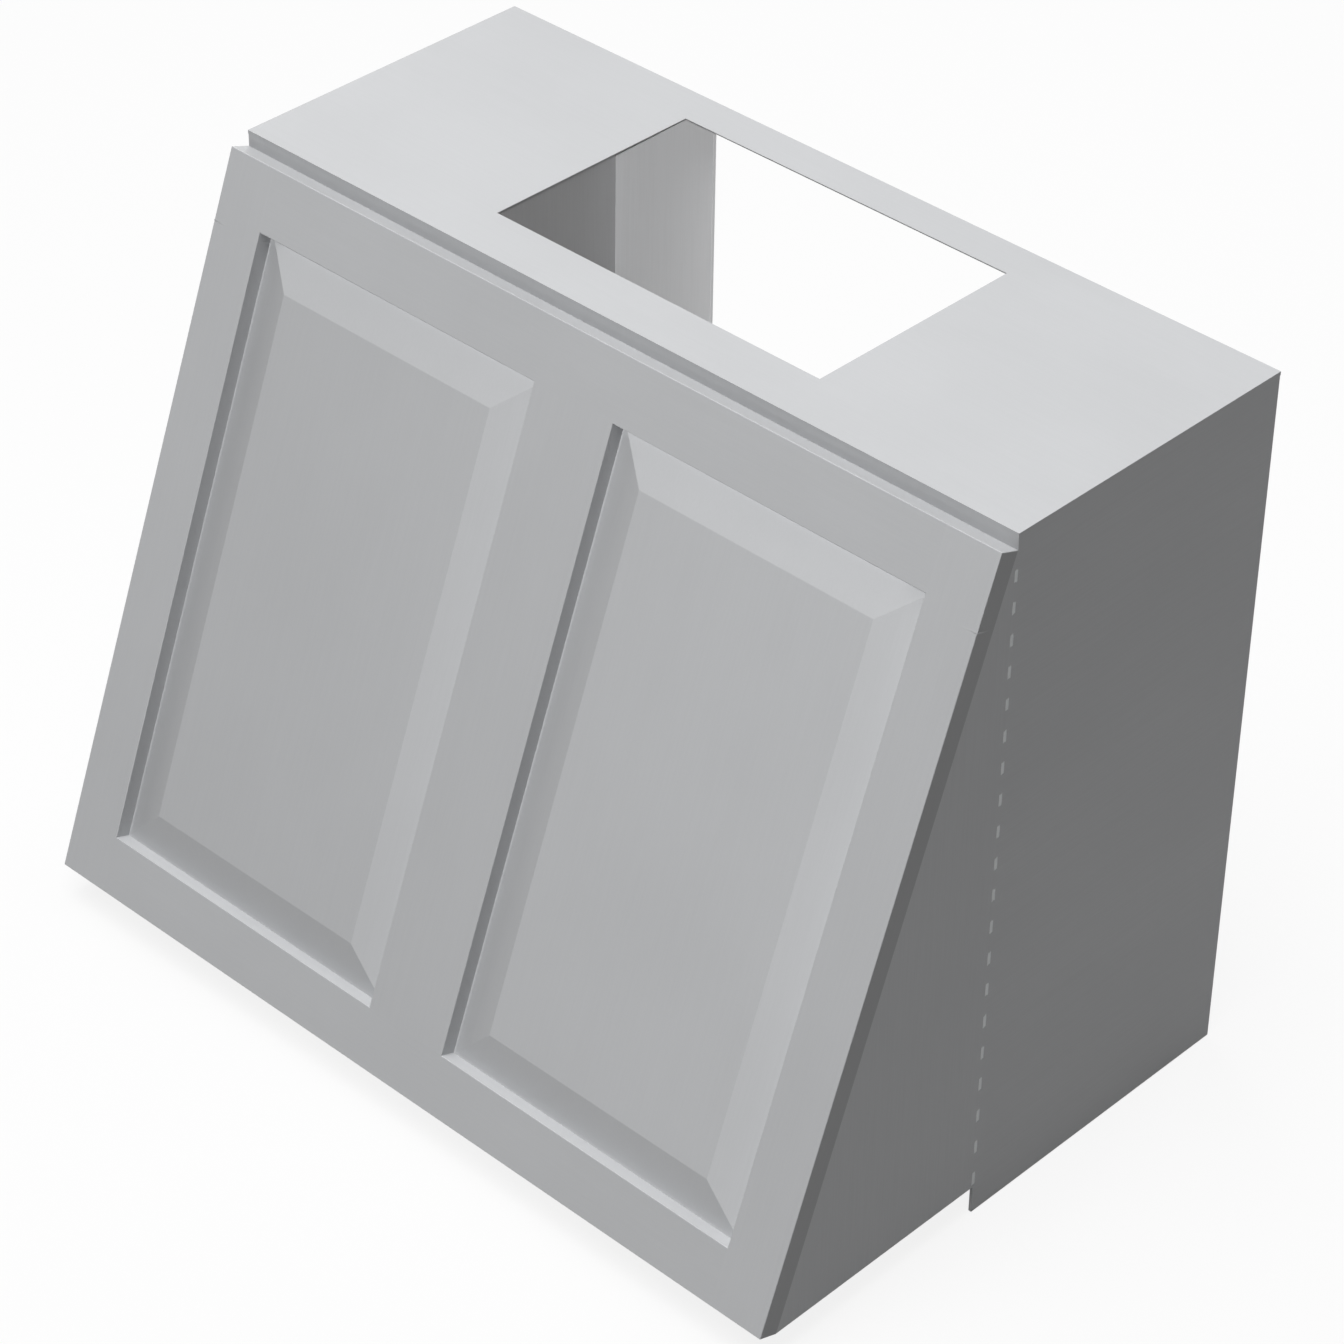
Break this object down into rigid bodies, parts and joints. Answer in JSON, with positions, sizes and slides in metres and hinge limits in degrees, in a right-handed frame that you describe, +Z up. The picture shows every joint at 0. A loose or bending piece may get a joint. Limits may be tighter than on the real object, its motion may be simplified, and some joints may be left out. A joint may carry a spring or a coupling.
{
  "type": "wooden range hood cover",
  "caption": "Painted wooden cover for a range hood: a wall box with a duct cut-out and open back, behind a sloped frame front with raised panels and three-cornered side wings.",
  "frame": {"origin": "on the plane of the box's lower edges, midway between the outer side faces and midway between the wall and the sloped front's lowest arris", "axes": "+X to the right as seen from in front, +Y from the front to the wall, +Z up"},
  "size_m": [0.762, 0.5126, 0.61],
  "materials": {
    "paint": "satin light grey paint on sanded wood, with faint grain and eased edges",
    "paint_inside": "flat light grey paint on plywood",
    "cleat_wood": "bare planed pine",
    "dowel_wood": "bare fluted beech",
    "steel": "zinc plated"
  },
  "bodies": {
    "root": {"left_box_side": "paint", "right_box_side": "paint", "top_panel": "paint", "front_top_rail": "paint", "rear_top_batten": "cleat_wood", "left_partition": "paint_inside", "right_partition": "paint_inside", "left_bay_floor": "paint_inside", "right_bay_floor": "paint_inside", "left_back_panel": "paint_inside", "right_back_panel": "paint_inside", "lower_hanging_rail": "cleat_wood", "left_upper_hanging_rail": "cleat_wood", "right_upper_hanging_rail": "cleat_wood", "left_liner_ledger": "cleat_wood", "right_liner_ledger": "cleat_wood", "left_side_wing": "paint", "right_side_wing": "paint", "left_seam_cleat": "cleat_wood", "right_seam_cleat": "cleat_wood", "left_front_cleat": "cleat_wood", "right_front_cleat": "cleat_wood", "centre_front_cleat": "cleat_wood", "top_front_wedge": "cleat_wood", "bottom_front_cleat": "cleat_wood", "left_stile": "paint", "right_stile": "paint", "centre_stile": "paint", "frame_top_rail": "paint", "frame_bottom_rail": "paint", "left_raised_panel": "paint", "right_raised_panel": "paint", "frame_dowels": "dowel_wood", "rail_dowels": "dowel_wood", "front_screws": "steel", "wing_screws": "steel", "seam_screws": "steel", "ledger_screws": "steel", "top_pins": "steel", "back_pins": "steel"}
  },
  "joints": []
}
